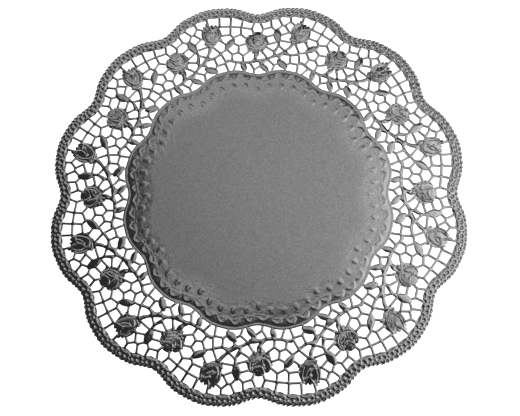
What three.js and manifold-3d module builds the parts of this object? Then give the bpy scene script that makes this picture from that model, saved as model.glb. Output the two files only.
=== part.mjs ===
// A round foil-paper lace doily: one sheet with a plain plate, a net with roses and leaves, and a scalloped rim.
// Millimetres, +Z up. The origin is the middle of the underside, and a valley between two scallops lies on +X.
import * as THREE from 'three';
import { mergeVertices } from 'three/addons/utils/BufferGeometryUtils.js';
import Module from 'manifold-3d';

const wasm = await Module();
wasm.setup();

// Driving dimensions
const REPEATS = 12;
const REPEAT_ANGLE = 360 / REPEATS;
const LOBE_ANGLE = REPEAT_ANGLE / 2;
const SHEET = 1;
const BAR = 1.5;
const GAPS_CUT = 25;

// Heights above the underside of what stands out of the sheet, and how deep its solids are rooted in it
const LEAF_TOP = 1.7;
const ROSE_SHOULDER = 1.9;
const ROSE_TOP = 2.4;
const RIM_CREST = 1.9;
const LIP_CREST = 1.6;
const ROOT = 0.5;

// Outlines as a mean radius and waves of 12, 24 and 36 to the turn, all highest in the middle of a lobe
const EDGE = { mean: 175.93, waves: [4.76, -1.1, 0.44] };
const PLATE = { mean: 114.6, waves: [2.95, -0.62, 0] };

// The rim and the plate's lip are ridges that follow those outlines
const RIM = { inset: 0.4, breadth: 9.4, steps: 8 };
const RIM_INNER = RIM.breadth + 2 * RIM.inset;
const LIP = { inset: 0.8, breadth: 2.6, steps: 4 };

// One row for each gap of a repeat, the largest first: the middle that its cell of the net is built around.
// The small gaps past the number cut only hold the net's bars in place.
const GAPS = [
  { radius: 164.5, angle: 10.3 },
  { radius: 153.5, angle: 7.6 },
  { radius: 166.0, angle: 17.8 },
  { radius: 127.2, angle: 3.6 },
  { radius: 160.2, angle: 23.9 },
  { radius: 162.5, angle: 6.9 },
  { radius: 128.0, angle: 18.8 },
  { radius: 152.0, angle: 3.8 },
  { radius: 155.4, angle: 0.0 },
  { radius: 166.2, angle: 13.9 },
  { radius: 128.5, angle: 8.2 },
  { radius: 140.0, angle: 20.1 },
  { radius: 119.7, angle: 15.1 },
  { radius: 152.2, angle: 26.4 },
  { radius: 138.0, angle: 24.4 },
  { radius: 136.5, angle: 9.0 },
  { radius: 136.2, angle: 16.9 },
  { radius: 155.2, angle: 10.8 },
  { radius: 159.2, angle: 3.2 },
  { radius: 131.2, angle: 12.0 },
  { radius: 141.5, angle: 13.7 },
  { radius: 121.0, angle: 11.2 },
  { radius: 114.5, angle: 29.2 },
  { radius: 144.7, angle: 6.5 },
  { radius: 164.5, angle: 21.4 },
  { radius: 134.7, angle: 5.6 },
  { radius: 131.7, angle: 25.8 },
  { radius: 147.5, angle: 11.0 },
  { radius: 116.5, angle: 3.8 },
  { radius: 117.5, angle: 21.4 },
  { radius: 148.5, angle: 20.1 },
  { radius: 119.5, angle: 25.1 },
  { radius: 129.0, angle: 15.3 },
  { radius: 158.8, angle: 27.3 },
  { radius: 118.0, angle: 8.4 },
  { radius: 154.5, angle: 21.3 },
  { radius: 144.0, angle: 25.3 },
  { radius: 158.7, angle: 19.3 },
  { radius: 126.7, angle: 28.8 },
  { radius: 124.2, angle: 23.4 },
  { radius: 119.7, angle: 1.0 },
  { radius: 134.0, angle: 21.9 },
];

// One row for each rose of a repeat, with its sizes along and across the radius
const ROSES = [
  { name: 'lobe rose', radius: 155.0, angle: 15.7, along: 20.0, across: 17.6 },
  { name: 'valley rose', radius: 142.4, angle: 0.4, along: 18.8, across: 22.0 },
];

// One row for each leaf of a repeat, from its root to its tip
const LEAVES = [
  { name: 'beside valley rose', fromRadius: 142.0, fromAngle: 22.6, toRadius: 156.5, toAngle: 23.8, breadth: 7.6 },
  { name: 'beside lobe rose', fromRadius: 137.5, fromAngle: 12.5, toRadius: 147.5, toAngle: 8.0, breadth: 6.6 },
  { name: 'low middle', fromRadius: 125.6, fromAngle: 22.3, toRadius: 118.6, toAngle: 17.2, breadth: 7.0 },
  { name: 'low side', fromRadius: 121.8, fromAngle: 29.5, toRadius: 112.8, toAngle: 25.0, breadth: 5.6 },
  { name: 'low small', fromRadius: 123.6, fromAngle: 6.8, toRadius: 113.6, toAngle: 5.3, breadth: 5.6 },
];

// One row for each straight stretch of a stem that is broader than a bar
const STEMS = [
  { name: 'lobe rose stem', fromRadius: 146.0, fromAngle: 16.6, toRadius: 133.2, toAngle: 20.6, breadth: 2.6 },
  { name: 'valley rose stem', fromRadius: 134.0, fromAngle: 0.2, toRadius: 123.0, toAngle: 2.4, breadth: 3.0 },
  { name: 'leaf stem', fromRadius: 143.0, fromAngle: 22.1, toRadius: 130.0, toAngle: 23.8, breadth: 2.0 },
  { name: 'long vine', fromRadius: 123.0, fromAngle: 28.0, toRadius: 133.0, toAngle: 20.0, breadth: 2.2 },
  { name: 'long vine end', fromRadius: 132.0, fromAngle: 20.0, toRadius: 134.5, toAngle: 14.0, breadth: 2.0 },
  { name: 'short vine', fromRadius: 126.6, fromAngle: 12.5, toRadius: 123.2, toAngle: 5.0, breadth: 2.0 },
  { name: 'short vine end', fromRadius: 123.2, fromAngle: 5.0, toRadius: 123.4, toAngle: -1.5, breadth: 2.0 },
];

// Sides of the low solids that stand for roses and leaves, and how much of their oval they cover
const ROSE_SIDES = 8;
const LEAF_SIDES = 6;
const RAISED_SHARE = 0.88;
const ROSE_TOP_SHARE = 0.5;
const KEEL = { length: 0.5, breadth: 0.1 };

// A cell starts as a square of this half side, corners closer than this join, and an outline is straight this far
const CELL_REACH = 14;
const CORNER_JOIN = 1.5;
const CHORD_ANGLE = 1.8;

// The point of the sheet at a radius and an angle in degrees
function place(radius, angle) {
  const turn = THREE.MathUtils.degToRad(angle);
  return new THREE.Vector2(radius * Math.cos(turn), radius * Math.sin(turn));
}

function turned(point, repeat) {
  return point.clone().rotateAround(new THREE.Vector2(), THREE.MathUtils.degToRad(repeat * REPEAT_ANGLE));
}

// Radius of a wavy outline at an angle
function reach(outline, angle) {
  const phase = THREE.MathUtils.degToRad(angle - LOBE_ANGLE);
  return outline.waves.reduce(
    (radius, wave, i) => radius + wave * Math.cos(REPEATS * (i + 1) * phase), outline.mean);
}

// A ring of points that follows an outline at an offset
function ring(outline, offset, steps) {
  const count = REPEATS * steps;
  return Array.from({ length: count }, (_, i) => {
    const angle = 360 * i / count;
    return place(reach(outline, angle) + offset, angle);
  });
}

// An oval as its middle, its long and short half axes and the direction of its long one
function roseOval(row, repeat) {
  const middle = turned(place(row.radius, row.angle), repeat);
  return { middle, half: [row.along / 2, row.across / 2], heading: middle.angle() };
}

function leafOval(row, repeat) {
  const from = turned(place(row.fromRadius, row.fromAngle), repeat);
  const to = turned(place(row.toRadius, row.toAngle), repeat);
  const along = to.clone().sub(from);
  return { middle: from.lerp(to, 0.5), half: [along.length() / 2, row.breadth / 2], heading: along.angle() };
}

function ovalPoint(oval, turn, share) {
  return new THREE.Vector2(oval.half[0] * Math.cos(turn), oval.half[1] * Math.sin(turn))
    .multiplyScalar(share)
    .rotateAround(new THREE.Vector2(), oval.heading)
    .add(oval.middle);
}

// Keeps the part of a convex polygon behind the line through a point across a normal
function clip(polygon, point, normal) {
  const height = (p) => normal.dot(p.clone().sub(point));
  const kept = [];
  polygon.forEach((a, i) => {
    const b = polygon[(i + 1) % polygon.length];
    const ha = height(a);
    const hb = height(b);
    if (ha <= 0) kept.push(a);
    if (ha * hb < 0) kept.push(a.clone().lerp(b, ha / (ha - hb)));
  });
  return kept;
}

// Clips a cell half a bar short of the line midway to another gap's middle
function clipToRival(cell, middle, rival) {
  const between = rival.clone().sub(middle);
  const distance = between.length();
  const normal = between.divideScalar(distance);
  return clip(cell, middle.clone().addScaledVector(normal, (distance - BAR) / 2), normal);
}

// Clips a cell to the inside or the outside of an outline, taken as straight across the cell
function clipToOutline(cell, outline, offset, angle, inside) {
  const [start, end] = [angle - CHORD_ANGLE, angle + CHORD_ANGLE]
    .map((a) => place(reach(outline, a) + offset, a));
  const along = end.clone().sub(start);
  const outward = new THREE.Vector2(along.y, -along.x).normalize();
  return clip(cell, start, inside ? outward : outward.negate());
}

// Clips a cell to the line that touches an oval on the side of the cell's middle
function clipToOval(cell, middle, oval) {
  const local = middle.clone().sub(oval.middle).rotateAround(new THREE.Vector2(), -oval.heading);
  const turn = Math.atan2(local.y / oval.half[1], local.x / oval.half[0]);
  const inward = new THREE.Vector2(-Math.cos(turn) / oval.half[0], -Math.sin(turn) / oval.half[1])
    .normalize()
    .rotateAround(new THREE.Vector2(), oval.heading);
  return clip(cell, ovalPoint(oval, turn, 1), inward);
}

// Clips a cell to the side of a stem that its middle lies on, where the stem passes it
function clipToStem(cell, middle, row, repeat) {
  const from = turned(place(row.fromRadius, row.fromAngle), repeat);
  const along = turned(place(row.toRadius, row.toAngle), repeat).sub(from);
  const share = middle.clone().sub(from).dot(along) / along.lengthSq();
  const foot = from.clone().addScaledVector(along, share);
  const inward = foot.clone().sub(middle);
  if (share < 0 || share > 1 || inward.length() > CELL_REACH / 2) return cell;
  inward.normalize();
  return clip(cell, foot.addScaledVector(inward, -row.breadth / 2), inward);
}

// Joins corners that lie close together into one
function joinCorners(polygon) {
  const corners = polygon.slice();
  for (let i = 0; i < corners.length && corners.length > 4;) {
    const next = (i + 1) % corners.length;
    if (corners[i].distanceTo(corners[next]) < CORNER_JOIN) {
      corners[i] = corners[i].clone().lerp(corners[next], 0.5);
      corners.splice(next, 1);
    } else {
      i += 1;
    }
  }
  return corners;
}

// The outline of one gap: its cell of the net, clear of bars, rim, plate, roses, leaves and stems
function gapOutline(gap) {
  const middle = place(gap.radius, gap.angle);
  let cell = [[-1, -1], [1, -1], [1, 1], [-1, 1]]
    .map(([x, y]) => new THREE.Vector2(x, y).multiplyScalar(CELL_REACH).add(middle));
  for (const repeat of [-1, 0, 1]) {
    for (const other of GAPS) {
      if (other !== gap || repeat !== 0) {
        cell = clipToRival(cell, middle, turned(place(other.radius, other.angle), repeat));
      }
    }
    for (const row of ROSES) cell = clipToOval(cell, middle, roseOval(row, repeat));
    for (const row of LEAVES) cell = clipToOval(cell, middle, leafOval(row, repeat));
    for (const row of STEMS) cell = clipToStem(cell, middle, row, repeat);
  }
  cell = clipToOutline(cell, EDGE, -RIM_INNER, gap.angle, true);
  cell = clipToOutline(cell, PLATE, 0, gap.angle, false);
  return joinCorners(cell);
}

// Turns a three.js geometry into a solid that can be joined
function solid(geometry) {
  geometry.deleteAttribute('normal');
  geometry.deleteAttribute('uv');
  const merged = mergeVertices(geometry);
  return new wasm.Manifold(new wasm.Mesh({
    numProp: 3,
    vertProperties: new Float32Array(merged.attributes.position.array),
    triVerts: new Uint32Array(merged.index.array),
  }));
}

function atHeight(points, z) {
  return points.map((p) => new THREE.Vector3(p.x, p.y, z));
}

// A solid skin over rings of points, whose ends are either joined to each other or capped
function skin(rings, joined) {
  const count = rings[0].length;
  const index = [];
  const bands = joined ? rings.length : rings.length - 1;
  for (let band = 0; band < bands; band += 1) {
    const low = band * count;
    const high = ((band + 1) % rings.length) * count;
    for (let i = 0; i < count; i += 1) {
      const j = (i + 1) % count;
      index.push(low + i, low + j, high + j, low + i, high + j, high + i);
    }
  }
  const top = bands * count;
  for (let i = 1; i < count - 1 && !joined; i += 1) {
    index.push(0, i + 1, i, top, top + i, top + i + 1);
  }
  const geometry = new THREE.BufferGeometry().setFromPoints(rings.flat());
  geometry.setIndex(index);
  return solid(geometry);
}

// The flat sheet with its scalloped edge and its cut gaps
function cutSheet(gapOutlines) {
  const shape = new THREE.Shape(ring(EDGE, 0, RIM.steps));
  for (let repeat = 0; repeat < REPEATS; repeat += 1) {
    for (const outline of gapOutlines) {
      shape.holes.push(new THREE.Path(outline.map((p) => turned(p, repeat))));
    }
  }
  return solid(new THREE.ExtrudeGeometry(shape, { depth: SHEET, bevelEnabled: false }));
}

// A ridge along an outline, with one crest between its two feet
function ridge(outline, row, crest) {
  const outer = ring(outline, -row.inset, row.steps);
  const middle = ring(outline, -row.inset - row.breadth / 2, row.steps);
  const inner = ring(outline, -row.inset - row.breadth, row.steps);
  return skin([
    atHeight(inner, SHEET - ROOT),
    atHeight(outer, SHEET - ROOT),
    atHeight(outer, SHEET),
    atHeight(middle, crest),
    atHeight(inner, SHEET),
  ], true);
}

function ovalRing(oval, sides, share, z) {
  const points = Array.from({ length: sides }, (_, i) => ovalPoint(oval, 2 * Math.PI * i / sides, share));
  return atHeight(points, z);
}

// A rose is a low dome with a shoulder
function rose(row, repeat) {
  const oval = roseOval(row, repeat);
  return skin([
    ovalRing(oval, ROSE_SIDES, RAISED_SHARE, SHEET - ROOT),
    ovalRing(oval, ROSE_SIDES, RAISED_SHARE, ROSE_SHOULDER),
    ovalRing(oval, ROSE_SIDES, ROSE_TOP_SHARE, ROSE_TOP),
  ], false);
}

// A leaf is raised to a blunt keel
function leaf(row, repeat) {
  const oval = leafOval(row, repeat);
  const keel = { ...oval, half: [oval.half[0] * KEEL.length, oval.half[1] * KEEL.breadth] };
  return skin([
    ovalRing(oval, LEAF_SIDES, RAISED_SHARE, SHEET - ROOT),
    ovalRing(oval, LEAF_SIDES, RAISED_SHARE, SHEET),
    ovalRing(keel, LEAF_SIDES, 1, LEAF_TOP),
  ], false);
}

function buildDoily() {
  const gapOutlines = GAPS.slice(0, GAPS_CUT).map(gapOutline);
  let doily = cutSheet(gapOutlines)
    .add(ridge(EDGE, RIM, RIM_CREST))
    .add(ridge(PLATE, LIP, LIP_CREST));
  for (let repeat = 0; repeat < REPEATS; repeat += 1) {
    for (const row of ROSES) doily = doily.add(rose(row, repeat));
    for (const row of LEAVES) doily = doily.add(leaf(row, repeat));
  }
  const mesh = doily.getMesh();
  const geometry = new THREE.BufferGeometry();
  geometry.setAttribute('position', new THREE.BufferAttribute(mesh.vertProperties, 3));
  geometry.setIndex(new THREE.BufferAttribute(mesh.triVerts, 1));
  geometry.computeVertexNormals();
  return geometry;
}

const foilPaper = new THREE.MeshStandardMaterial({ color: 0xb4b6b8, roughness: 0.35, metalness: 0.9 });

const part = new THREE.Group();
const sheet = new THREE.Mesh(buildDoily(), foilPaper);
sheet.name = 'doily';
part.add(sheet);

export default part;
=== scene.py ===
import math
from collections import namedtuple

import bpy
import numpy as np
from mathutils import Matrix, Vector
from mathutils.geometry import delaunay_2d_cdt


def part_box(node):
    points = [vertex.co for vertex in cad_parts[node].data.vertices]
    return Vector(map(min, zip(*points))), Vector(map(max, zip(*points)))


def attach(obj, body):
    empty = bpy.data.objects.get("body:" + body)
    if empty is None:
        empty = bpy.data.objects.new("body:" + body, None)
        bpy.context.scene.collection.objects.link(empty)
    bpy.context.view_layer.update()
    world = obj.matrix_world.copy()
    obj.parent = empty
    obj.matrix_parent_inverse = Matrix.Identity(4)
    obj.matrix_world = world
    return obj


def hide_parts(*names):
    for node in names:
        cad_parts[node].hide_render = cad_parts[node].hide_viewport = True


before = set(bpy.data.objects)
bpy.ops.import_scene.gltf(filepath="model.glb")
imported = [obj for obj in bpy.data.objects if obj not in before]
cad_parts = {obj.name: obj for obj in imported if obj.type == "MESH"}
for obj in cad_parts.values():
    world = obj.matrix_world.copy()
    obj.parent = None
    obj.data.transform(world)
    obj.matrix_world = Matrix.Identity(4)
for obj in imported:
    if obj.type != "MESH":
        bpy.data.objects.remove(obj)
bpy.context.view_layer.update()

# A round foil-paper lace doily. The chart below is in millimetres and degrees and holds one of 12 repeats:
# radius from the middle, angle against the clock from the valley that lies on +X.
REPEATS = 12
REPEAT_ANGLE = 360 / REPEATS
LOBE_ANGLE = REPEAT_ANGLE / 2

# The paper's thickness, the breadth of the net's bars, and how high bars, stems and leaves are pressed.
# One margin inside its outline, a leaf has risen by nearly two thirds of its height.
PAPER = 0.25
BAR = 2.15
BAR_RISE = 0.66
STEM_RISE = 0.66
LEAF_RISE = 0.35
LEAF_MARGIN = 0.5

Outline = namedtuple("Outline", "mean waves")
EDGE = Outline(175.93, (4.76, -1.1, 0.44))
PLATE = Outline(114.6, (2.95, -0.62, 0.0))

# Broad form of the pressed sheet. The rim and the motifs swell a little. The plate is highest in its plain
# middle, falls slightly along the border band and more near its edge, and has a thin rolled lip there.
RIM_BREADTH = 9.5
RIM_SWELL = 0.2
ROSE_SWELL = 0.12
LEAF_SWELL = 0.1
BAND_REACH = 23.2
BAND_FALL = 0.5
EDGE_REACH = 5.4
EDGE_FALL = 0.24
LIP = {"inside": 0.95, "breadth": 1.25, "rise": 0.18}

# The sheet lies a little unevenly on its table: its level, the height of its slow waves, how many millimetres
# a radian of them takes along x and y, how far the sheet settles under the plate, and the radii between which
# the waves grow
WAVES = {"level": 0.35, "height": 0.25, "radian_x": 41, "radian_y": 47, "settled": 0.3, "from": 60, "to": 150}

# Corners of gaps are rounded about this much. A gap's outline is kept to this precision, in steps no longer
# than this.
FILLET = 0.2
OUTLINE_ERROR = 0.06
LONGEST_STEP = 2.4

# Steps between the mesh's points along each kind of form, and over the parts that the forms leave bare
STEP = {"bar": 1.3, "stem": 1.3, "fold": 0.9, "bead": 0.9, "petal": 1.0, "leaf": 1.1, "band line": 1.2,
        "bud": 1.1, "lip": 1.4}
BARE_STEP = {"petal": 1.1, "rim": 1.2, "leaf": 1.25, "lip": 1.7, "band": 1.9, "plate": 4.5, "underside": 4.5}

# How near points of each kind may come to points that are there already, and how far they keep from a gap
NEAREST = {"ridge": 0.42, "motif": 0.33, "lace": 0.5, "band": 0.8}
FROM_GAP = {"bar": 0.3, "stem": 0.4, "fold": 0.4, "motif": 0.3, "petal": 0.45, "rim": 0.4, "underside": 1.5}

# Rows of an even net of triangles lie this share of a step apart
ROW_SHARE = 0.866

# Keeps a division away from zero
TINY = 1e-6


def rows(columns, table):
    """A short table as rows with named columns."""
    Row = namedtuple("Row", columns)
    return [Row(*line) for line in table]


# The middle of each gap of the net
GAPS = rows("radius angle", [
    (164.5, 10.3), (153.5, 7.6), (166.0, 17.8), (127.2, 3.6), (160.2, 23.9), (162.5, 6.9),
    (128.0, 18.8), (152.0, 3.8), (155.4, 0.0), (166.2, 13.9), (128.5, 8.2), (140.0, 20.1),
    (119.7, 15.1), (152.2, 26.4), (138.0, 24.4), (136.5, 9.0), (136.2, 16.9), (155.2, 10.8),
    (159.2, 3.2), (131.2, 12.0), (141.5, 13.7), (121.0, 11.2), (114.5, 29.2), (144.7, 6.5),
    (164.5, 21.4), (134.7, 5.6), (131.7, 25.8), (147.5, 11.0), (116.5, 3.8), (117.5, 21.4),
    (148.5, 20.1), (119.5, 25.1), (129.0, 15.3), (158.8, 27.3), (118.0, 8.4), (154.5, 21.3),
    (144.0, 25.3), (158.7, 19.3), (126.7, 28.8), (124.2, 23.4), (119.7, 1.0), (134.0, 21.9),
])

# Leaves, each from its root to its tip
LEAVES = rows("name from_radius from_angle to_radius to_angle breadth", [
    ("beside valley rose", 142.0, 22.6, 156.5, 23.8, 7.6),
    ("beside lobe rose", 137.5, 12.5, 147.5, 8.0, 6.6),
    ("low middle", 125.6, 22.3, 118.6, 17.2, 7.0),
    ("low side", 121.8, 29.5, 112.8, 25.0, 5.6),
    ("low small", 123.6, 6.8, 113.6, 5.3, 5.6),
])

# Stems and vines, each a line through places of the sheet, broader than a bar
STEMS = rows("name breadth places", [
    ("lobe rose stem", 2.8, [(145.5, 16.8), (140.0, 17.6), (137.0, 18.8), (133.5, 20.3), (129.5, 22.8)]),
    ("long vine", 2.6, [(129.5, 22.8), (126.5, 25.3), (125.2, 26.6), (124.5, 29.1), (123.5, 31.0)]),
    ("lobe branch", 2.4, [(132.0, 20.9), (132.2, 17.0), (134.0, 14.4)]),
    ("leaf stem", 2.4, [(142.5, 22.4), (137.0, 22.6), (132.5, 23.4), (129.5, 23.7)]),
    ("short vine", 2.5, [(127.0, 12.2), (125.5, 10.6), (123.8, 8.4), (122.8, 6.0), (122.8, 2.6),
                         (123.7, -1.0)]),
    ("valley rose stem", 3.3, [(133.5, 0.2), (129.0, 0.2), (124.5, 1.7), (122.8, 2.3)]),
])

# The roses' middles. A rose's own chart has x to the right and y out of the doily, seen from above.
ROSES = {"lobe": (155.0, 15.7), "valley": (142.4, 0.4)}

# Petals, sepals and petal tips as low domes on an oval foot: half length along a heading, half breadth, rise
PETALS = rows("rose x y length breadth heading rise", [
    ("lobe", 0.3, -1.2, 8.9, 8.6, 0, 0.05),
    ("lobe", -4.4, 6.6, 3.1, 1.2, 95, 0.12),
    ("lobe", -2.0, 8.0, 3.6, 1.2, 99, 0.12),
    ("lobe", -0.3, 6.8, 2.8, 1.1, 84, 0.12),
    ("lobe", 2.5, 6.4, 3.0, 1.4, 85, 0.12),
    ("lobe", 5.3, 5.5, 2.9, 1.7, 72, 0.12),
    ("lobe", 7.4, 4.6, 2.6, 1.3, 50, 0.12),
    ("lobe", -6.5, 1.4, 5.3, 2.3, 80, 0.05),
    ("lobe", 7.4, 0.4, 5.4, 1.9, 95, 0.05),
    ("lobe", -6.3, -6.6, 2.9, 1.4, 222, 0.12),
    ("lobe", -5.6, -9.6, 2.3, 1.1, 245, 0.12),
    ("lobe", 6.6, -6.6, 2.4, 1.3, 318, 0.12),
    ("lobe", -1.2, -9.4, 3.9, 2.2, 0, 0.05),
    ("valley", 0.0, -1.0, 9.0, 8.0, 0, 0.05),
    ("valley", 0.8, 5.6, 5.2, 4.0, 0, 0.05),
    ("valley", -6.6, 1.2, 5.7, 3.3, 76, 0.05),
    ("valley", -8.6, 0.4, 2.3, 1.4, 178, 0.12),
    ("valley", -7.0, -4.8, 4.6, 2.4, 112, 0.05),
    ("valley", 7.6, 1.2, 5.6, 2.4, 101, 0.05),
    ("valley", 8.9, -1.6, 2.5, 1.5, -8, 0.12),
    ("valley", 6.4, -5.4, 4.2, 2.2, 62, 0.05),
    ("valley", -7.0, -7.6, 2.3, 1.2, 240, 0.12),
    ("valley", -3.2, -9.4, 2.9, 1.3, 256, 0.12),
    ("valley", 3.9, -9.4, 2.8, 1.3, 300, 0.12),
    ("valley", 0.4, -9.8, 3.2, 1.5, 268, 0.12),
])

# Rolled petal rims and folds: a line through three places of the rose's own chart
FOLDS = rows("rose x1 y1 x2 y2 x3 y3", [
    ("lobe", 7.4, 6.5, 6.4, -0.6, 1.7, -7.5),
    ("lobe", 1.7, -7.5, -3.6, -5.8, -5.4, 1.5),
    ("lobe", -5.4, 1.5, -4.7, 4.8, -2.6, 8.3),
    ("lobe", -3.8, -2.8, 0.7, 1.8, -0.3, 8.0),
    ("lobe", 0.6, 2.0, 3.3, 3.3, 6.5, 3.7),
    ("lobe", -0.9, -2.4, 2.2, -0.9, 3.9, 1.6),
    ("lobe", -7.6, -7.2, -0.4, -9.1, 7.4, -6.5),
    ("lobe", -7.2, -3.0, -7.6, 2.0, -5.4, 7.0),
    ("valley", -7.6, 5.4, -8.5, 0.6, -5.0, -4.4),
    ("valley", -5.0, -4.4, -2.3, -3.2, -4.3, 3.3),
    ("valley", 7.4, 5.4, 7.5, -1.8, 2.1, -7.2),
    ("valley", 2.1, -7.2, -2.5, -7.7, -6.2, -6.2),
    ("valley", 6.1, 4.4, 6.1, 0.6, 4.6, -3.4),
    ("valley", -3.6, 6.9, -1.9, 2.4, 1.4, 1.5),
    ("valley", 1.4, 1.5, 4.6, 3.0, 7.0, 5.6),
    ("valley", -0.2, -3.1, 2.4, -1.0, 5.3, 0.4),
    ("valley", 0.8, -4.4, 3.4, -3.0, 5.6, -2.1),
    ("valley", -1.2, -7.8, -1.3, -10.0, -1.6, -12.0),
    ("valley", 1.7, -7.8, 1.9, -10.0, 2.2, -12.0),
])
FOLD_BREADTH = 1.5
FOLD_RISE = 0.33

# Beads of the rim, pressed as dimples: how far along the edge from their place, how far inside it, half
# length and half breadth. Seven hubs lie at one pitch along each lobe, with the six spaces between them and
# one wider space at the valley.
HUBS = 7
HUB_PITCH = 12.66
BEADS = rows("at along inside length breadth", [
    ("hub", -1.67, 1.55, 1.45, 1.45),
    ("hub", 1.67, 1.55, 1.45, 1.45),
    ("hub", 0.0, 4.5, 0.6, 0.5),
    ("hub", 0.0, 7.5, 1.3, 1.3),
    ("between", 0.0, 1.55, 2.3, 1.3),
    ("between", -2.45, 5.3, 1.85, 1.65),
    ("between", 2.3, 5.3, 1.85, 1.65),
    ("between", 0.0, 9.0, 3.5, 0.95),
    ("valley", 0.0, 1.65, 1.5, 1.4),
    ("valley", -4.3, 1.6, 1.9, 1.3),
    ("valley", 4.3, 1.6, 1.9, 1.3),
    ("valley", -2.2, 5.3, 1.5, 1.7),
    ("valley", 2.2, 5.3, 1.5, 1.7),
    ("valley", -6.2, 5.2, 1.7, 1.6),
    ("valley", 6.2, 5.2, 1.7, 1.6),
    ("valley", 0.0, 7.9, 1.3, 1.2),
    ("valley", -5.1, 8.8, 2.2, 0.95),
    ("valley", 5.1, 8.8, 2.2, 0.95),
])

# How high the ridges between the beads stand
NETWORK_RISE = 0.42

# The edge follows the outermost beads, those less than this far inside it, and is notched between them.
# Its shoulders are shares of a bead's half length and of the notch's depth.
OUTER_BEADS = 2
EDGE_NOTCH = 1.1
SHOULDER = {"along": 0.7, "depth": 0.4}

# Beads more than this far inside the edge reach into the net, with a collar of paper round them
INNER_BEADS = 8.5
BEAD_COLLAR = 0.4

# The border band of the plate: arches, the string under them, buds and their caps
ARCHES = rows("r1 a1 r2 a2 r3 a3", [
    (105.3, 28.2, 108.4, 26.3, 105.2, 24.3),
    (108.6, 22.2, 111.9, 20.2, 109.0, 18.2),
    (109.3, 16.2, 112.6, 14.2, 109.2, 12.3),
    (108.2, 10.2, 110.8, 8.2, 107.6, 6.2),
    (105.0, 4.2, 107.2, 2.2, 104.6, 0.2),
])
STRINGS = rows("r1 a1 r2 a2 r3 a3", [
    (103.6, 27.6, 104.4, 25.4, 106.2, 22.6),
    (106.2, 22.6, 108.0, 19.6, 108.0, 16.8),
    (108.0, 16.8, 108.2, 13.9, 107.4, 11.0),
    (107.4, 11.0, 106.8, 8.0, 105.2, 5.0),
    (105.2, 5.0, 103.0, 2.6, 102.2, 0.2),
    (102.2, 0.2, 102.2, -1.2, 103.6, -2.4),
])
BUDS = rows("radius angle", [(95.4, 0.35), (99.5, 6.4), (101.0, 12.4), (100.5, 18.4), (98.8, 24.35)])
BUD_HALF = (3.5, 2.3)
BUD_RISE = 0.15
# A bud's top leans over, by this much and in this direction: along the bud and across it
BUD_LEAN = 0.8
LEAN_TOWARD = (0.35, 0.94)
CAP = {"out": 5.3, "half": 1.5, "sag": 0.9}
BAND_BREADTH = 1.3
ARCH_RISE = 0.24
STRING_RISE = 0.05

# The band's gloss fades into the plate's satin over a few rings, between two depths inside the plate's edge.
# The band's own foil starts a little inside that edge.
FADE = {"from": 20.0, "to": 29.2, "rings": 4}
BAND_START = 0.8


def turned(points, repeat):
    """Points of the plane, as complex numbers, turned on by whole repeats."""
    return np.asarray(points) * np.exp(1j * math.radians(REPEAT_ANGLE * repeat))


def place(radius, angle):
    """The point of the sheet at a radius and an angle in degrees."""
    return radius * np.exp(1j * np.radians(angle))


def reach(outline, angle):
    """Radius of a wavy outline at an angle."""
    phase = np.radians(np.asarray(angle) - LOBE_ANGLE)
    waves = (wave * np.cos(REPEATS * (i + 1) * phase) for i, wave in enumerate(outline.waves))
    return outline.mean + sum(waves)


def inside(outline, points):
    """How far inside a wavy outline points lie, square to it."""
    angle = np.degrees(np.angle(points))
    radius = reach(outline, angle)
    slope = (reach(outline, angle + 0.1) - reach(outline, angle - 0.1)) / (radius * math.radians(0.2))
    return (radius - abs(points)) / np.hypot(1, slope)


def between(low, high, value):
    """0 below low, 1 above high and a smooth rise between."""
    share = np.clip((value - low) / (high - low), 0, 1)
    return share * share * (3 - 2 * share)


def least(distances, blend):
    """The least of several rows of distances, rounded off where two are nearly alike."""
    lowest = distances.min(axis=0)
    return lowest - blend * np.log(np.exp((lowest - distances) / blend).sum(axis=0))


def own_axes(shape, points, repeat):
    """Points seen from the middle of a shape, with x along its heading."""
    return (points - turned(shape.middle, repeat)) / turned(shape.heading, repeat)


class Oval:
    """An oval, the foot of a dome or a dimple: middle, heading of its long axis, half sizes and rise."""

    def __init__(self, middle, heading, length, breadth, rise=0.0):
        self.middle, self.heading = middle, heading
        self.length, self.breadth, self.rise = length, breadth, rise

    def share(self, points, repeat):
        """0 in the middle and 1 on the foot."""
        at = own_axes(self, points, repeat)
        return np.hypot(at.real / self.length, at.imag / self.breadth)

    def distance(self, points, repeat):
        """Distance outside the foot, negative inside it."""
        at = own_axes(self, points, repeat)
        share = np.hypot(at.real / self.length, at.imag / self.breadth)
        slope = np.hypot(at.real / self.length ** 2, at.imag / self.breadth ** 2) / np.maximum(share, TINY)
        return (share - 1) / np.maximum(slope, TINY)

    def ring(self, share, step):
        """Points around the middle, at a share of the oval's size."""
        around = math.pi * (self.length + self.breadth) * share
        count = max(6, round(around / step))
        turn = 2 * math.pi * np.arange(count) / count
        oval = self.length * np.cos(turn) + 1j * self.breadth * np.sin(turn)
        return self.middle + self.heading * share * oval


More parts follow.
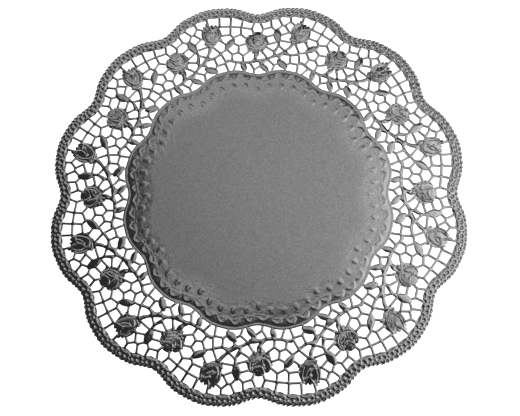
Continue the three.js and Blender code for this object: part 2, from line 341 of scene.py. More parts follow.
class Leaf:
    """A pointed leaf between two arcs, from its root to its tip."""

    def __init__(self, row):
        root, tip = place(row.from_radius, row.from_angle), place(row.to_radius, row.to_angle)
        self.middle, self.length, self.breadth = (root + tip) / 2, abs(tip - root) / 2, row.breadth / 2
        self.heading = (tip - root) / abs(tip - root)
        self.arc = (self.length ** 2 + self.breadth ** 2) / (2 * self.breadth)

    def distance(self, points, repeat):
        """Distance outside the leaf, negative inside it."""
        at = own_axes(self, points, repeat)
        side = 1j * (self.arc - self.breadth)
        return np.maximum(abs(at - side), abs(at + side)) - self.arc

    def margins(self, depth, step):
        """Points along both margins, at a depth inside them."""
        radius = self.arc - depth
        half_angle = math.acos((self.arc - self.breadth) / radius)
        count = max(2, round(2 * half_angle * radius / step))
        turn = np.linspace(-half_angle, half_angle, count + 1)
        bow = radius * np.exp(1j * turn) - (self.arc - self.breadth)
        return self.middle + self.heading * np.concatenate([1j * bow, -1j * bow])


class Line:
    """A line through points. A raised line has a breadth and a rise."""

    def __init__(self, points, breadth=0.0, rise=0.0):
        self.points, self.breadth, self.rise = np.asarray(points), breadth, rise

    def distance(self, points, repeat):
        """Distance from the line's middle."""
        nearest = np.full(len(points), np.inf)
        course = turned(self.points, repeat)
        for start, end in zip(course[:-1], course[1:]):
            along = end - start
            share = np.clip(((points - start) / along).real, 0, 1)
            nearest = np.minimum(nearest, abs(points - start - share * along))
        return nearest

    def spaced(self, step, sideways=0.0):
        """Points along the line, at a step, shifted to one side."""
        length = np.concatenate([[0], np.cumsum(abs(np.diff(self.points)))])
        count = max(2, round(length[-1] / step))
        at = np.linspace(0, length[-1], count + 1)
        course = np.interp(at, length, self.points.real) + 1j * np.interp(at, length, self.points.imag)
        heading = np.gradient(course)
        return course + 1j * sideways * heading / abs(heading)


def curve(first, second, third, count=9):
    """A smooth line that starts at the first point, passes the second and ends at the third."""
    share = np.linspace(0, 1, count)
    handle = 2 * second - (first + third) / 2
    return (1 - share) ** 2 * first + 2 * share * (1 - share) * handle + share ** 2 * third


def smooth_course(places):
    """A smooth line through places given as radius and angle, in four steps from each to the next."""
    points = np.array([place(*p) for p in places])
    last = len(points) - 1
    fine = np.linspace(0, last, 4 * last + 1)
    ends = np.concatenate([[2 * points[0] - points[1]], points, [2 * points[-1] - points[-2]]])
    start = np.minimum(fine.astype(int), last - 1)
    t = fine - start
    before, first, second, after = (ends[start + i] for i in range(4))
    return 0.5 * (2 * first + (second - before) * t + (2 * before - 5 * first + 4 * second - after) * t ** 2
                  + (3 * first - before - 3 * second + after) * t ** 3)


def on_rose(rose, x, y):
    """A place of a rose's own chart on the sheet."""
    radius, angle = ROSES[rose]
    return place(radius, angle) - 1j * place(1, angle) * (x + 1j * y)


class Edge:
    """The scalloped edge of one repeat, measured along itself from the valley."""

    def __init__(self):
        angle = np.linspace(-LOBE_ANGLE, REPEAT_ANGLE + LOBE_ANGLE, 3001)
        self.points = place(reach(EDGE, angle), angle)
        steps = abs(np.diff(self.points))
        self.along = np.concatenate([[0], np.cumsum(steps)])
        self.along -= np.interp(0, angle, self.along)
        self.length = np.interp(REPEAT_ANGLE, angle, self.along)
        heading = np.gradient(self.points, self.along)
        self.heading = heading / abs(heading)

    def at(self, along, depth):
        """The point so far along the edge and so deep inside it, and the edge's heading there."""
        def read(values):
            return np.interp(along, self.along, values.real) + 1j * np.interp(along, self.along, values.imag)
        heading = read(self.heading)
        return read(self.points) + 1j * heading * depth, heading


edge = Edge()


def bead_places():
    """Each bead of one repeat as its place along the edge, its depth and its row."""
    first = (edge.length - (HUBS - 1) * HUB_PITCH) / 2
    hubs = [first + i * HUB_PITCH for i in range(HUBS)]
    spots = {"hub": hubs, "between": [h + HUB_PITCH / 2 for h in hubs[:-1]], "valley": [0.0]}
    return [(spot + row.along, row) for row in BEADS for spot in spots[row.at]]


def make_beads():
    beads = []
    for along, row in bead_places():
        middle, heading = edge.at(along, row.inside)
        beads.append(Oval(middle, heading, row.length, row.breadth))
    return beads


def make_petals():
    return [Oval(on_rose(p.rose, p.x, p.y), -1j * place(1, ROSES[p.rose][1] + p.heading),
                 p.length, p.breadth, p.rise) for p in PETALS]


def make_folds():
    return [Line(curve(*(on_rose(f.rose, x, y) for x, y in ((f.x1, f.y1), (f.x2, f.y2), (f.x3, f.y3)))),
                 FOLD_BREADTH, FOLD_RISE) for f in FOLDS]


def bows(table):
    """The smooth line of each row of a table of arches or strings."""
    return [curve(place(b.r1, b.a1), place(b.r2, b.a2), place(b.r3, b.a3)) for b in table]


def make_band_lines():
    """Arches, strings and the small caps over the buds."""
    arches, strings = bows(ARCHES), bows(STRINGS)
    for bud in BUDS:
        outward = place(1, bud.angle)
        top = place(bud.radius + CAP["out"], bud.angle)
        ends = [top + outward * (side * CAP["half"] - CAP["sag"]) for side in (-1j, 1j)]
        strings.append(curve(ends[0], top, ends[1]))
    return ([Line(line, BAND_BREADTH, ARCH_RISE) for line in arches]
            + [Line(line, BAND_BREADTH, STRING_RISE) for line in strings])


def make_buds():
    return [Oval(place(bud.radius, bud.angle), place(1, bud.angle), *BUD_HALF, BUD_RISE) for bud in BUDS]


leaves = [Leaf(row) for row in LEAVES]
stems = [Line(smooth_course(row.places), row.breadth, STEM_RISE) for row in STEMS]
beads, petals, folds = make_beads(), make_petals(), make_folds()
band_lines, buds = make_band_lines(), make_buds()
inner_beads = [bead for bead, (along, row) in zip(beads, bead_places()) if row.inside > INNER_BEADS]
gap_middles = np.array([place(gap.radius, gap.angle) for gap in GAPS])
plate_angles = np.arange(0, REPEAT_ANGLE + 1, 1.0)
plate_edge = Line(place(reach(PLATE, plate_angles), plate_angles))

# A repeat is measured together with its two neighbours
COPIES = (-1, 0, 1)


def bar_distances(points, rivals=7):
    """Distances from the nearest middle lines between gaps, the nearest gap first, in rows."""
    middles = np.concatenate([turned(gap_middles, k) for k in COPIES])
    square = abs(points[:, None] - middles[None, :]) ** 2
    near = np.argpartition(square, rivals, axis=1)[:, :rivals + 1]
    near = np.take_along_axis(near, np.argsort(np.take_along_axis(square, near, 1), axis=1), 1)
    square = np.take_along_axis(square, near, 1)
    spacing = abs(middles[near[:, 1:]] - middles[near[:, :1]])
    return ((square[:, 1:] - square[:, :1]) / (2 * spacing)).T


def room(points):
    """How far points lie inside a gap of the net. It is negative on the paper."""
    walls = [bar_distances(points) - BAR / 2]
    walls.append(-inside(PLATE, points)[None])
    walls.append((inside(EDGE, points) - RIM_BREADTH)[None])
    for k in COPIES:
        walls += [oval.distance(points, k)[None] for oval in petals + leaves]
        walls += [oval.distance(points, k)[None] - BEAD_COLLAR for oval in inner_beads]
        walls += [stem.distance(points, k)[None] - stem.breadth / 2 for stem in stems]
    return least(np.concatenate(walls), FILLET)


def thinned(loop):
    """A closed outline with only the points that its shape needs."""
    kept, i, count = [], 0, len(loop)
    while i < count:
        kept.append(loop[i])
        reach_to = i + 1
        for j in range(i + 2, count + 1):
            chord = loop[j % count] - loop[i]
            passed = loop[i + 1:j] - loop[i]
            off = abs((passed * np.conj(chord)).imag) / max(abs(chord), 1e-9)
            if off.max() > OUTLINE_ERROR or abs(chord) > LONGEST_STEP:
                break
            reach_to = j
        i = reach_to
    return np.array(kept)


def gap_outlines(rays=84, steps=44, longest=13.0, halvings=9):
    """The outline of each gap of one repeat, found along rays from its middle."""
    heading = np.exp(2j * math.pi * np.arange(rays) / rays)
    travel = np.linspace(0, longest, steps)
    points = gap_middles[:, None, None] + heading[None, :, None] * travel[None, None, :]
    free = room(points.ravel()).reshape(points.shape)
    blocked = free <= 0
    blocked[..., -1] = True
    stop = blocked.argmax(axis=2)
    if (stop == 0).any():
        raise ValueError(f"gaps {sorted(set(np.nonzero(stop == 0)[0]))} have their middle on the paper")
    low, high = travel[stop - 1], travel[stop]
    for _ in range(halvings):
        half = (low + high) / 2
        at = gap_middles[:, None] + heading[None, :] * half
        open_there = room(at.ravel()).reshape(at.shape) > 0
        low, high = np.where(open_there, half, low), np.where(open_there, high, half)
    loops = gap_middles[:, None] + heading[None, :] * low
    return [thinned(loop) for loop in loops]


def edge_outline():
    """The outer edge of one repeat, a little scalloped by the outer beads, against the clock."""
    outer = sorted((along, row.length) for along, row in bead_places() if row.inside < OUTER_BEADS)
    along, depth = [], []
    for i, (middle, half) in enumerate(outer):
        following = outer[i + 1][0] if i + 1 < len(outer) else outer[0][0] + edge.length
        shoulder, cut_in = SHOULDER["along"] * half, SHOULDER["depth"] * EDGE_NOTCH
        notch = (middle + half + following) / 2 - half / 4
        along += [middle - shoulder, middle, middle + shoulder, notch]
        depth += [cut_in, 0.0, cut_in, EDGE_NOTCH]
    return edge.at(np.array(along), np.array(depth))[0]


def clear_of_edge(points, edge_part, gap):
    """Which points lie inside the notched outer edge, with a gap to it."""
    course = Line(np.concatenate([turned(edge_part, k) for k in COPIES]))
    radius = np.interp(np.angle(points), np.angle(course.points), abs(course.points))
    return (abs(points) < radius) & (course.distance(points, 0) > gap)


def bar_crests(step, farthest=30, shortest=0.2):
    """Points along the middle lines of the bars of one repeat, each between two gaps not too far apart."""
    everyone = np.concatenate([turned(gap_middles, k) for k in COPIES])
    count = len(gap_middles)
    found = []
    for i in range(count):
        for j in range(count, 3 * count):
            if j < 2 * count and j - count <= i:
                continue
            a, b = gap_middles[i], everyone[j]
            if abs(a - b) > farthest:
                continue
            middle, across = (a + b) / 2, 1j * (b - a) / abs(b - a)
            rivals = np.delete(everyone, [count + i, j])
            offset = abs(middle - rivals) ** 2 - abs(middle - a) ** 2
            slope = 2 * (((middle - rivals) - (middle - a)) * np.conj(across)).real
            low = (-offset / slope)[slope > 0].max(initial=-farthest)
            high = (-offset / slope)[slope < 0].min(initial=farthest)
            if high - low > shortest:
                cuts = max(1, round((high - low) / step))
                found.append(middle + across * np.linspace(low, high, cuts + 1))
    return np.concatenate(found)


def apart(points, others, gap, portion=2000, recent=400):
    """The points that keep a gap to others and to the points kept just before, the first come first kept."""
    ring = np.concatenate([turned(others, k) for k in COPIES])
    kept = []
    for start in range(0, len(points), portion):
        some = points[start:start + portion]
        kept.append(some[abs(some[:, None] - ring[None, :]).min(axis=1) > gap])
    points = np.concatenate(kept)
    chosen = []
    taken = np.zeros(0, complex)
    for p in points:
        if len(taken) == 0 or abs(taken - p).min() > gap:
            chosen.append(p)
            taken = np.array([q for c in chosen[-recent:] for q in (c, turned(c, 1), turned(c, -1))])
    return np.array(chosen)


def fill(low, high, step):
    """Evenly spread points of one repeat between two radii."""
    found = []
    for i, radius in enumerate(np.arange(low, high, step * ROW_SHARE)):
        count = max(1, round(math.radians(REPEAT_ANGLE) * radius / step))
        found.append(place(radius, (np.arange(count) + 0.5 * (i % 2)) * REPEAT_ANGLE / count))
    return np.concatenate(found)


def lowest(shapes, points):
    """Distance from the nearest of several shapes."""
    return np.min([shape.distance(points, k) for shape in shapes for k in COPIES], axis=0)


def ridge_points(outline_points):
    """The points on the feet of folds, and those along bars and stems."""
    crests = bar_crests(STEP["bar"])
    on_motif = np.minimum(lowest(petals, crests), lowest(leaves, crests))
    clear = np.minimum(on_motif, lowest(stems, crests) - 1.2)
    net = (clear > 0.2) & (inside(PLATE, crests) < -0.2) & (inside(EDGE, crests) > RIM_BREADTH + 0.3)
    crests = crests[net & (room(crests) < -FROM_GAP["bar"])]
    ribs = np.concatenate([stem.spaced(STEP["stem"]) for stem in stems])
    ribs = ribs[(lowest(petals, ribs) > 0.3) & (room(ribs) < -FROM_GAP["stem"])]
    half = FOLD_BREADTH / 2
    feet = np.concatenate([fold.spaced(STEP["fold"], side) for side in (half, -half) for fold in folds])
    feet = feet[(room(feet) < -FROM_GAP["fold"]) & (lowest(folds, feet) > 0.9 * half)]
    feet = apart(feet, outline_points, NEAREST["ridge"])
    taken = np.concatenate([outline_points, feet])
    return feet, apart(np.concatenate([crests, ribs]), taken, NEAREST["ridge"])


def motif_points(edge_part):
    """Points along the lip, folds, beads, petals, leaves and the band's lines and buds."""
    lip = [plate_edge.spaced(STEP["lip"], LIP["inside"] + side)[:-1] for side in (0, 0.6, -0.6)]
    half = FOLD_BREADTH / 2
    found = lip + [fold.spaced(STEP["fold"], side) for side in (0, half / 2, -half / 2) for fold in folds]
    found += [bead.ring(share, STEP["bead"]) for bead in beads for share in (0.5, 0.78, 1.03)]
    found += [petal.ring(share, STEP["petal"]) for petal in petals for share in (0.8, 1.0)]
    found.append(np.array([bead.middle for bead in beads]))
    found += [leaf.margins(depth, STEP["leaf"]) for leaf in leaves for depth in (0.6, 1.2)]
    found += [line.spaced(STEP["band line"], side) for line in band_lines for side in (0, 0.6, -0.6)]
    found += [bud.ring(share, STEP["bud"]) for bud in buds for share in (0.001, 0.55, 0.72, 0.88, 1.0, 1.12)]
    found = np.concatenate(found)
    return found[(room(found) < -FROM_GAP["motif"]) & clear_of_edge(found, edge_part, 0.35)]


def filling_points(taken, edge_part):
    """Points spread evenly over the lace, the band and the plate, clear of those already taken."""
    fine = fill(108, 184, BARE_STEP["petal"])
    petal_fill = fine[(lowest(petals, fine) < 0) & (room(fine) < -FROM_GAP["petal"])]
    rim = fill(150, 184, BARE_STEP["rim"])
    rim = rim[(inside(EDGE, rim) < RIM_BREADTH + 0.5) & (room(rim) < -FROM_GAP["rim"])]
    rim_fill = rim[clear_of_edge(rim, edge_part, 0.45)]
    coarse = fill(108, 160, BARE_STEP["leaf"])
    leaf_fill = coarse[(lowest(leaves, coarse) < -0.3) & (lowest(petals, coarse) > 0.3)]
    lace = np.concatenate([petal_fill, rim_fill, leaf_fill])
    lip_rows = [plate_edge.spaced(BARE_STEP["lip"], depth)[:-1] for depth in (3.0, 4.2, EDGE_REACH)]
    band = fill(84, 116, BARE_STEP["band"])
    band = np.concatenate(lip_rows + [band[inside(PLATE, band) > EDGE_REACH]])
    plate = fill(BARE_STEP["plate"], 83, BARE_STEP["plate"])
    return np.concatenate([apart(lace, taken, NEAREST["lace"]), apart(band, taken, NEAREST["band"]), plate])


def inner_points(outline_points, edge_part):
    """The points of one repeat's upper face inside its outlines, with those on the feet of folds first, and
    how many those are."""
    feet, ridges = ridge_points(outline_points)
    taken = np.concatenate([outline_points, feet, ridges])
    motif = apart(motif_points(edge_part), taken, NEAREST["motif"])
    filling = filling_points(np.concatenate([taken, motif]), edge_part)
    return np.concatenate([feet, ridges, motif, filling]), len(feet)


def dome(share):
    """A round top over a foot, from 1 in the middle to 0 on the foot."""
    return np.clip(1 - share ** 2, 0, 1)


def cushion(share):
    """A nearly level top with steep sides."""
    return np.clip(1 - share ** 4, 0, 1)


def swell(points):
    """Broad form of the pressed sheet, which the underside follows."""
    from_edge = inside(EDGE, points)
    rim = RIM_SWELL * between(0.0, 2.5, from_edge) * between(0.0, 2.5, RIM_BREADTH - from_edge)
    roses = ROSE_SWELL * between(0.0, 4.0, -lowest(petals, points))
    leaf_swell = LEAF_SWELL * between(0.0, 2.0, -lowest(leaves, points))
    depth = inside(PLATE, points)
    plate = BAND_FALL * np.clip(depth / BAND_REACH, 0, 1) + EDGE_FALL * between(0.8, EDGE_REACH, depth)
    return np.max([rim, roses, leaf_swell], axis=0) + plate


def rim_network(points):
    """The rim's beads are small dimples, with a network of ridges left standing between them."""
    depth = inside(EDGE, points)
    on_rim = between(0.0, 0.9, depth) * between(-0.3, 0.7, RIM_BREADTH - depth)
    share = np.min([bead.share(points, k) for bead in beads for k in COPIES], axis=0)
    return NETWORK_RISE * on_rim * between(0.5, 1.02, share)


def relief(points):
    """Fine relief of the upper face above the broad form."""
    height = np.zeros(len(points))
    for petal in petals:
        for k in COPIES:
            height = np.maximum(height, petal.rise * dome(petal.share(points, k)))
    height = np.maximum(height, rim_network(points))
    for bud in buds:
        for k in COPIES:
            at = own_axes(bud, points, k)
            along, across = LEAN_TOWARD
            lean = 1 - BUD_LEAN * (along * at.real / bud.length + across * at.imag / bud.breadth)
            height = np.maximum(height, bud.rise * lean * cushion(bud.share(points, k)))
    for line in folds + band_lines:
        for k in COPIES:
            height += line.rise * dome(line.distance(points, k) / (line.breadth / 2))
    for stem in stems:
        for k in COPIES:
            across = stem.distance(points, k) / (stem.breadth / 2)
            height = np.maximum(height, stem.rise * dome(across) * between(-1.5, 0.1, lowest(petals, points)))
    for leaf in leaves:
        for k in COPIES:
            depth = np.maximum(-leaf.distance(points, k), 0)
            height = np.maximum(height, LEAF_RISE * (1 - np.exp(-depth / LEAF_MARGIN)))
    on_net = (inside(PLATE, points) < -0.1) & (inside(EDGE, points) > RIM_BREADTH)
    clear = between(-0.7, 0.1, np.minimum(lowest(petals, points), lowest(leaves, points)))
    bars = bar_distances(points)[0]
    bars = np.clip(1 - bars / (BAR / 2), 0, 1) * BAR_RISE * on_net * clear
    height = np.maximum(height, bars)
    return height + LIP["rise"] * dome((inside(PLATE, points) - LIP["inside"]) / (LIP["breadth"] / 2))


def waves(points):
    """The unevenness of a sheet of paper that lies on a table, at least zero everywhere."""
    loose = between(WAVES["from"], WAVES["to"], abs(points))
    across = np.sin(points.real / WAVES["radian_x"] + 0.7)
    away = np.sin(points.imag / WAVES["radian_y"] + 0.4)
    return WAVES["level"] + WAVES["height"] * across * away * loose - WAVES["settled"] * (1 - loose)


class Face:
    """One triangulated face of the sheet: points, triangles and where its outlines are."""

    def __init__(self, gap_loops, edge_part, inner):
        parts = gap_loops + [edge_part, inner]
        self.size = sum(len(part) for part in parts)
        self.points = np.concatenate([turned(np.concatenate(parts), k) for k in range(REPEATS)])
        starts = np.cumsum([0] + [len(part) for part in parts])
        self.loops = [k * self.size + starts[g] + np.arange(len(loop))
                      for k in range(REPEATS) for g, loop in enumerate(gap_loops)]
        edge_start = starts[len(gap_loops)]
        self.loops.append(np.concatenate([k * self.size + edge_start + np.arange(len(edge_part))
                                          for k in range(REPEATS)]))
        self.triangulate()

    def triangulate(self):
        borders = np.concatenate([np.stack([loop, np.roll(loop, -1)], 1) for loop in self.loops])
        flat = [Vector((p.real, p.imag)) for p in self.points]
        made = delaunay_2d_cdt(flat, borders.tolist(), [], 0, 1e-6, False)
        if len(made[0]) != len(flat):
            raise ValueError("two points of the sheet fall together, or two of its outlines cross")
        self.points = np.array([v.x + 1j * v.y for v in made[0]])
        triangles = np.array([list(face) for face in made[2]])
        a, b, c = (self.points[triangles[:, i]] for i in range(3))
        backward = ((b - a) * np.conj(c - a)).imag > 0
        triangles[backward] = triangles[backward][:, ::-1]
        loop_of = np.full(len(self.points), -1)
        rank = np.zeros(len(self.points), int)
        for number, loop in enumerate(self.loops):
            loop_of[loop] = number
            rank[loop] = np.arange(len(loop))
        same = (loop_of[triangles] == loop_of[triangles][:, :1]).all(axis=1) & (loop_of[triangles[:, 0]] >= 0)
        first, second, third = (rank[triangles[:, i]] for i in range(3))
        with_loop = (second - first) * (third - second) * (first - third) < 0
        on_edge = loop_of[triangles[:, 0]] == len(self.loops) - 1
        self.triangles = triangles[~(same & (with_loop != on_edge))]


def build_mesh():
    """The sheet's corners, its faces, whether each face is of the upper face, the underside or the cut edge,
    and which corners are on the feet of folds."""
    gap_loops = gap_outlines()
    edge_part = edge_outline()
    outline_points = np.concatenate(gap_loops + [edge_part])
    upper_inner, sharp_count = inner_points(outline_points, edge_part)
    lower = fill(BARE_STEP["underside"], 180, BARE_STEP["underside"])
    margin = FROM_GAP["underside"]
    lower = lower[(room(lower) < -margin) & (inside(EDGE, lower) > margin)]
    upper = Face(gap_loops, edge_part, upper_inner)
    under = Face(gap_loops, edge_part, lower)

    def folded(points):
        """The points turned back into the first repeat."""
        turns = np.floor(np.degrees(np.angle(points)) / REPEAT_ANGLE)
        return points * np.exp(-1j * np.radians(turns * REPEAT_ANGLE))

    top_height = PAPER + swell(folded(upper.points)) + relief(folded(upper.points)) + waves(upper.points)
    under_height = swell(folded(under.points)) + waves(under.points)
    heights = np.concatenate([top_height, under_height])
    flat = np.concatenate([upper.points, under.points])
    corners = np.stack([flat.real, flat.imag, heights], 1)

    shift = len(upper.points)
    walls = []
    for above, below in zip(upper.loops, under.loops):
        a, b = above, np.roll(above, -1)
        c, d = below + shift, np.roll(below, -1) + shift
        side = np.concatenate([np.stack([a, b, d], 1), np.stack([a, d, c], 1)])
        walls.append(side)
    walls[-1] = walls[-1][:, ::-1]
    walls = np.concatenate(walls)
    faces = np.concatenate([upper.triangles, under.triangles[:, ::-1] + shift, walls])
    kinds = np.repeat([UPPER, UNDERSIDE, CUT_EDGE], [len(upper.triangles), len(under.triangles), len(walls)])
    on_foot = np.zeros(len(corners), bool)
    start = upper.size - len(upper_inner)
    for k in range(REPEATS):
        on_foot[k * upper.size + start:k * upper.size + start + sharp_count] = True
    return corners, faces, kinds, on_foot


UPPER, UNDERSIDE, CUT_EDGE = range(3)
corners, faces, kinds, on_foot = build_mesh()

# Metres for each millimetre of the chart, from the width of the solid sheet
widest = max(abs(edge.points.real))
box_low, box_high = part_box("doily")
METRES = (box_high.x - box_low.x) / 2 / widest
mesh = bpy.data.meshes.new("doily_sheet")
mesh.from_pydata((corners * METRES).tolist(), [], faces.tolist())
mesh.validate()
doily = bpy.data.objects.new("doily_sheet", mesh)
bpy.context.scene.collection.objects.link(doily)

PLATE_FINISH, BAND_FINISH, LACE_FINISH, BACK_FINISH = range(4)
centres = corners[faces].mean(axis=1) @ np.array([1, 1j, 0])
plate_depth = inside(PLATE, centres)
fade_ring = np.floor((plate_depth - FADE["from"]) / (FADE["to"] - FADE["from"]) * FADE["rings"])
material_of_face = np.select(
    [kinds == UNDERSIDE, plate_depth > FADE["to"], plate_depth > FADE["from"], plate_depth > BAND_START],
    [BACK_FINISH, PLATE_FINISH, BACK_FINISH + 1 + fade_ring, BAND_FINISH], LACE_FINISH)
mesh.polygons.foreach_set("material_index", material_of_face.astype(np.int32))
mesh.polygons.foreach_set("use_smooth", kinds != CUT_EDGE)
ends = np.zeros(2 * len(mesh.edges), np.int32)
mesh.edges.foreach_get("vertices", ends)
ends = ends.reshape(-1, 2)
mesh.edges.foreach_set("use_edge_sharp", on_foot[ends].all(axis=1))
mesh.update()


def linear(colour):
    """The linear red, green, blue and alpha of an sRGB colour like #c8c9cb."""
    shares = [int(colour[i:i + 2], 16) / 255 for i in (1, 3, 5)]
    return [s / 12.92 if s <= 0.04045 else ((s + 0.055) / 1.055) ** 2.4 for s in shares] + [1.0]


def add(tree, kind, values=None, links=None, **settings):
    """Adds a node to a tree, with its settings, the values of its sockets and the outputs linked to them."""
    made = tree.nodes.new(kind)
    for name, value in settings.items():
        setattr(made, name, value)
    for name, value in (values or {}).items():
        made.inputs[name].default_value = value
    for name, output in (links or {}).items():
        tree.links.new(output, made.inputs[name])
    return made


def blank_material(name):
    """A new material and its node tree, emptied."""
    material = bpy.data.materials.new(name)
    material.use_nodes = True
    material.node_tree.nodes.clear()
    return material, material.node_tree


# Of a foil: its least and its greatest roughness, the greys of its grain, the depths of grain and dents in
# metres, and how many dents go to a metre. The plate is satin, the band glossier, the pressed lace glossiest.
Finish = namedtuple("Finish", "smooth rough dark light grain_depth dent_depth dent_scale")
SATIN = Finish(0.36, 0.42, 0.69, 0.9, 0.00008, 0.00004, 400.0)
STAMPED = Finish(0.15, 0.22, 0.72, 0.87, 0.00001, 0.00012, 230.0)
PRESSED = Finish(0.08, 0.13, 0.74, 0.89, 0.00001, 0.00008, 330.0)

# How many clouds of gloss, grains of foil and fibres of bare paper go to a metre, and where the grain's two
# greys lie on its ramp
CLOUDS = 28.0
GRAINS = 1400.0
FIBRES = 900.0
GRAIN_RAMP = (0.3, 0.7)


def foil(name, finish):
    """Aluminium foil laminated to paper: a metal whose sheen is broken by the paper's fine grain."""
    material, tree = blank_material(name)
    where = add(tree, "ShaderNodeTexCoord").outputs["Object"]
    cloud = add(tree, "ShaderNodeTexNoise", {"Scale": CLOUDS, "Detail": 3.0}, {"Vector": where})
    gloss = add(tree, "ShaderNodeMapRange", {"To Min": finish.smooth, "To Max": finish.rough},
                {"Value": cloud.outputs["Fac"]})
    fibres = add(tree, "ShaderNodeTexNoise", {"Scale": GRAINS, "Detail": 2.0}, {"Vector": where})
    ramp = add(tree, "ShaderNodeValToRGB", links={"Fac": fibres.outputs["Fac"]})
    greys = (finish.dark, finish.light)
    for element, position, grey in zip(ramp.color_ramp.elements, GRAIN_RAMP, greys):
        element.position = position
        element.color = linear("#" + 3 * f"{round(255 * grey):02x}")
    bump = add(tree, "ShaderNodeBump", {"Strength": 1.0, "Distance": finish.grain_depth},
               {"Height": fibres.outputs["Fac"]})
    dents = add(tree, "ShaderNodeTexNoise", {"Scale": finish.dent_scale, "Detail": 1.0}, {"Vector": where})
    dented = add(tree, "ShaderNodeBump", {"Strength": 1.0, "Distance": finish.dent_depth},
                 {"Height": dents.outputs["Fac"], "Normal": bump.outputs["Normal"]})
    skin = add(tree, "ShaderNodeBsdfPrincipled", {"Metallic": 1.0},
               {"Base Color": ramp.outputs["Color"], "Roughness": gloss.outputs["Result"],
                "Normal": dented.outputs["Normal"]})
    add(tree, "ShaderNodeOutputMaterial", links={"Surface": skin.outputs["BSDF"]})
    return material


def backing_paper():
    """Uncoated white paper, as the back of foil-faced paper is."""
    material, tree = blank_material("backing_paper")
    where = add(tree, "ShaderNodeTexCoord").outputs["Object"]
    fibres = add(tree, "ShaderNodeTexNoise", {"Scale": FIBRES, "Detail": 4.0}, {"Vector": where})
    ramp = add(tree, "ShaderNodeValToRGB", links={"Fac": fibres.outputs["Fac"]})
    ramp.color_ramp.elements[0].color = linear("#d9d8d4")
    ramp.color_ramp.elements[1].color = linear("#efeeea")
    bump = add(tree, "ShaderNodeBump", {"Distance": 0.00003}, {"Height": fibres.outputs["Fac"]})
    skin = add(tree, "ShaderNodeBsdfPrincipled", {"Roughness": 0.85},
               {"Base Color": ramp.outputs["Color"], "Normal": bump.outputs["Normal"]})
    add(tree, "ShaderNodeOutputMaterial", links={"Surface": skin.outputs["BSDF"]})
    return material


mesh.materials.append(foil("satin_foil_plate", SATIN))
mesh.materials.append(foil("stamped_foil_band", STAMPED))
mesh.materials.append(foil("pressed_foil_lace", PRESSED))
mesh.materials.append(backing_paper())
for ring in range(FADE["rings"]):
    share = (ring + 1) / (FADE["rings"] + 1)
    mixed = Finish(*((1 - share) * band + share * plate for band, plate in zip(STAMPED, SATIN)))
    mesh.materials.append(foil(f"fading_foil_{ring + 1}", mixed))

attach(doily, "root")
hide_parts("doily")


# The table, in metres: its width, and how little it lies below the sheet
TABLE_WIDTH = 24
TABLE_DROP = 0.0002


def white_floor():
    """A plain white table. It shows pure white, as in the photograph, and the foil doesn't mirror it."""
    bpy.ops.mesh.primitive_plane_add(size=TABLE_WIDTH, location=(0, 0, -TABLE_DROP))
    floor = bpy.context.object
    floor.name = "floor"
    material, tree = blank_material("white_floor")
    skin = add(tree, "ShaderNodeBsdfPrincipled", {
        "Base Color": linear("#f4f4f4"), "Roughness": 0.9, "Specular IOR Level": 0.0,
        "Emission Color": linear("#ffffff"), "Emission Strength": 1.0})
    add(tree, "ShaderNodeOutputMaterial", links={"Surface": skin.outputs["BSDF"]})
    floor.data.materials.append(material)
    floor.visible_glossy = False


white_floor()


# The photograph's camera, in the picture's own axes: x to the right and y away from the viewer
CAMERA = {"target": (0.78, -12.05, 1.0), "distance": 678.1, "elevation": 75.48, "roll": -4.377,
          "lens": 55.4, "sensor": 36.0}
PICTURE_TURN = 4.138
INTO_DOILY_AXES = Matrix.Rotation(math.radians(PICTURE_TURN), 4, "Z")


def photo_camera():
    """A camera at the photograph's angle, in the doily's own frame."""
    rise, roll = math.radians(CAMERA["elevation"]), math.radians(CAMERA["roll"])
    forward = Vector((0, math.cos(rise), -math.sin(rise)))
    right = Vector((1, 0, 0))
    up = right.cross(forward)
    across = right * math.cos(roll) + up * math.sin(roll)
    upward = up * math.cos(roll) - right * math.sin(roll)
    target = Vector(CAMERA["target"])
    stand = (target - forward * CAMERA["distance"]) * METRES
    axes = Matrix((across, upward, -forward)).transposed().to_4x4()
    data = bpy.data.cameras.new("camera")
    data.lens, data.sensor_width = CAMERA["lens"], CAMERA["sensor"]
    data.clip_start, data.clip_end = 0.01, 60
    camera = bpy.data.objects.new("camera", data)
    bpy.context.scene.collection.objects.link(camera)
    camera.matrix_world = INTO_DOILY_AXES @ Matrix.Translation(stand) @ axes
    bpy.context.scene.camera = camera


photo_camera()


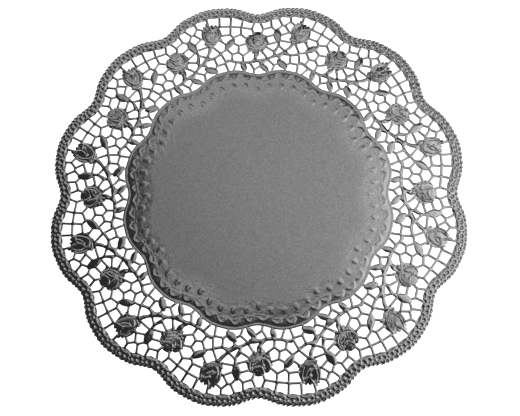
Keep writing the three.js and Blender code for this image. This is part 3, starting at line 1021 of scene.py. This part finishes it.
# Soft panels in metres, in the picture's axes: x to the right, y away from the viewer, z up. Each shines at
# the point of the table that has its own x and the y given by aim.
PANELS = rows("name x y z aim width length strength", [
    ("key_right", 0.36, 0.06, 1.2, 0.06, 0.16, 1.02, 0.6),
    ("key_middle", 0.68, 0.06, 1.2, 0.06, 0.48, 1.02, 0.86),
    ("key_outer", 1.07, 0.1, 1.2, 0.1, 0.3, 1.0, 1.08),
    ("fill_above", 0.01, 0.405, 1.2, 0.405, 0.56, 0.79, 0.41),
    ("fill_far_left", -0.32, 0.74, 1.2, 0.74, 0.28, 0.4, 0.3),
    ("panel_behind", -0.3, 1.45, 0.75, 0.0, 2.2, 1.0, 0.66),
    ("panel_front", -0.1, -1.2, 1.0, 0.0, 1.2, 0.5, 0.34),
])


def softbox(panel):
    """An area light for one panel. Its strength is the brightness of its face, whatever its size."""
    data = bpy.data.lights.new(panel.name, "AREA")
    data.shape, data.size, data.size_y = "RECTANGLE", panel.width, panel.length
    data.energy = panel.strength * panel.width * panel.length * math.pi
    light = bpy.data.objects.new(panel.name, data)
    bpy.context.scene.collection.objects.link(light)
    stand = Vector((panel.x, panel.y, panel.z))
    outward = stand - Vector((panel.x, panel.aim, 0))
    facing = outward.to_track_quat("Z", "Y").to_matrix().to_4x4()
    light.matrix_world = INTO_DOILY_AXES @ Matrix.Translation(stand) @ facing
    light.visible_camera = False


for panel in PANELS:
    softbox(panel)


def studio_walls():
    """Pale walls up to a little above the table, and a dark ceiling that keeps the foil's shades deep."""
    world = bpy.data.worlds.new("studio")
    world.use_nodes = True
    tree = world.node_tree
    toward = add(tree, "ShaderNodeTexCoord").outputs["Generated"]
    height = add(tree, "ShaderNodeSeparateXYZ", links={"Vector": toward}).outputs["Z"]
    walls = add(tree, "ShaderNodeValToRGB", links={"Fac": height})
    for element, sine, colour in zip(walls.color_ramp.elements, (0.18, 0.32), ("#dcdcdc", "#303030")):
        element.position = sine
        element.color = linear(colour)
    tree.links.new(walls.outputs["Color"], tree.nodes["Background"].inputs["Color"])
    bpy.context.scene.world = world


studio_walls()
bpy.context.scene.view_settings.view_transform = "Standard"
